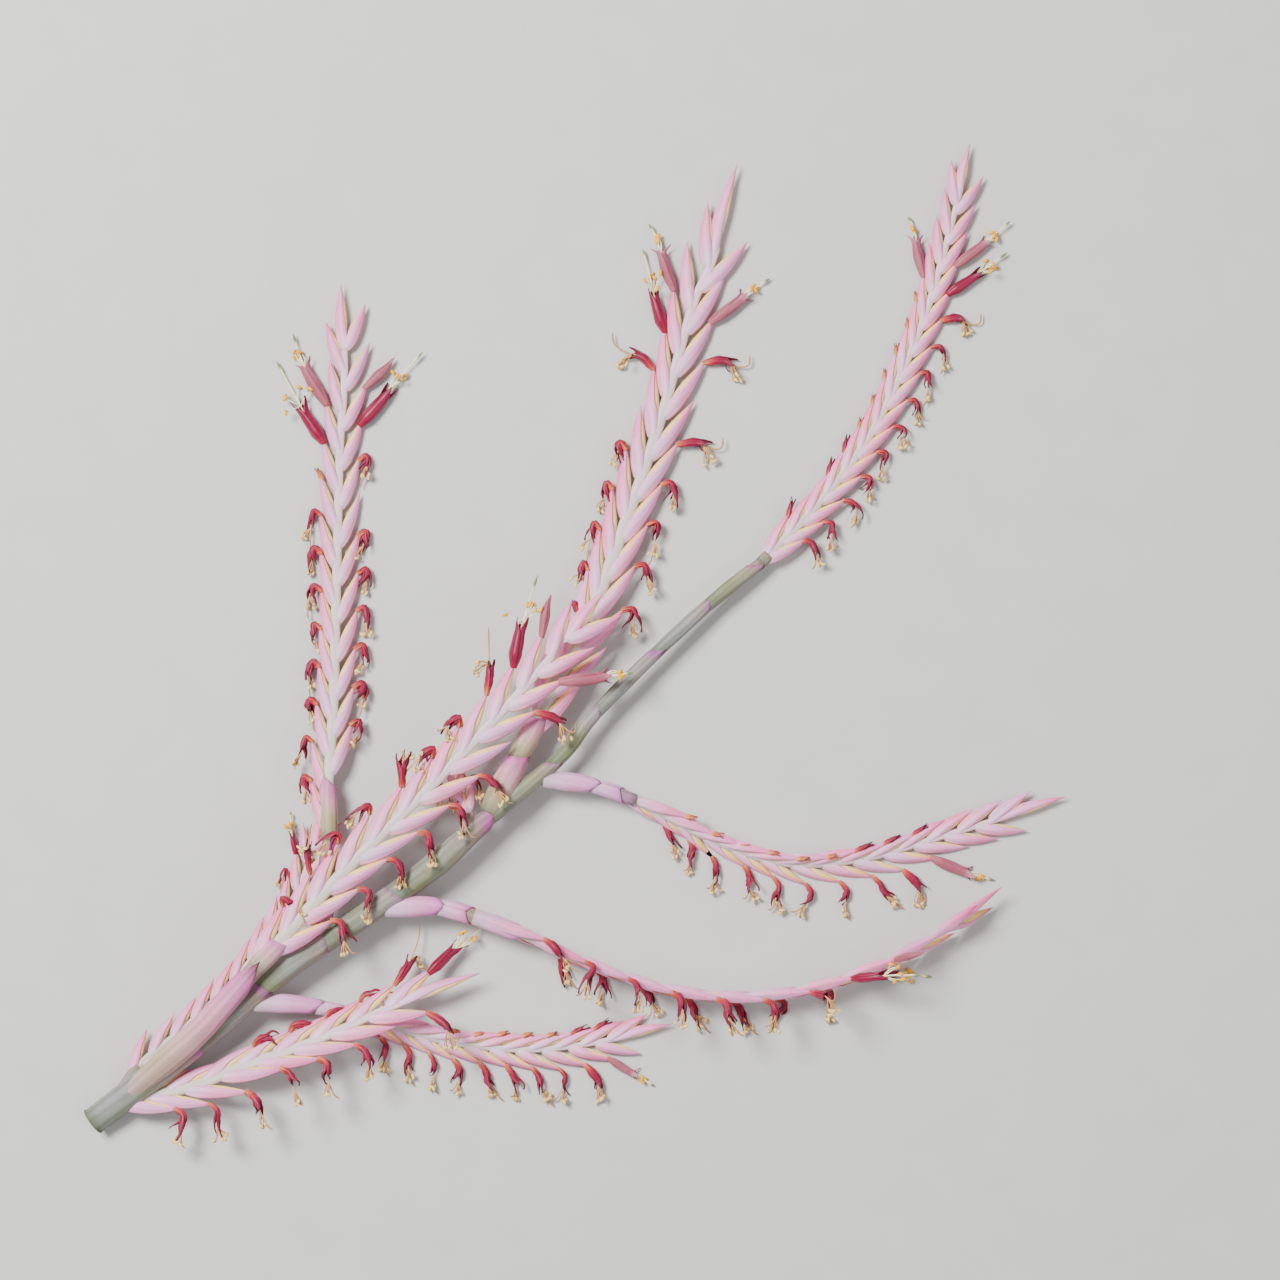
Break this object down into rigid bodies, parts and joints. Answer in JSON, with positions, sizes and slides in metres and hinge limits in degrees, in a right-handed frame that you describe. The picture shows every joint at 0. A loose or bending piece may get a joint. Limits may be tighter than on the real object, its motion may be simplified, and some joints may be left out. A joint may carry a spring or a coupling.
{
  "type": "cut flower stalk",
  "caption": "Branched air plant flower stalk as picked: grey-green stem, spikes of folded pink bracts in two ranks, open red flowers near the tips, dried ones hanging below.",
  "frame": {"origin": "middle of the outline seen from above, on the surface that the stalk lies on", "axes": "+Z up from the surface; the stalk lies along XY with its cut end towards -X and -Y; +Y is up on the growing plant and spent flowers hang towards -Y"},
  "size_m": [0.3148, 0.3204, 0.023],
  "materials": {
    "stem": "matte, faintly powdery",
    "bract": "matte, velvety",
    "petal": "soft satin",
    "dry_petal": "matte, wrinkled",
    "calyx": "matte",
    "stamen": "matte",
    "anther": "matte, powdery"
  },
  "bodies": {
    "root": {"main_stem": "stem", "spike_a": "bract", "bloom_a1": "petal", "bloom_a2": "petal", "bloom_a3": "petal", "bloom_a4": "petal", "spike_b": "bract", "bloom_b1": "petal", "bloom_b2": "petal", "bloom_b3": "petal", "spike_c": "bract", "bloom_c1": "petal", "bloom_c2": "petal", "bloom_c3": "petal", "spike_e": "bract", "bloom_e1": "petal", "spike_f": "bract", "bloom_f1": "petal", "bloom_f2": "petal", "bloom_f3": "petal", "spike_g": "bract", "bloom_g1": "petal", "spike_h": "bract", "bloom_h1": "petal", "bloom_h2": "petal", "bloom_h3": "petal", "spike_i": "bract", "bloom_i1": "petal", "spike_j": "bract", "bloom_j1": "petal", "spike_k": "bract"}
  },
  "joints": []
}
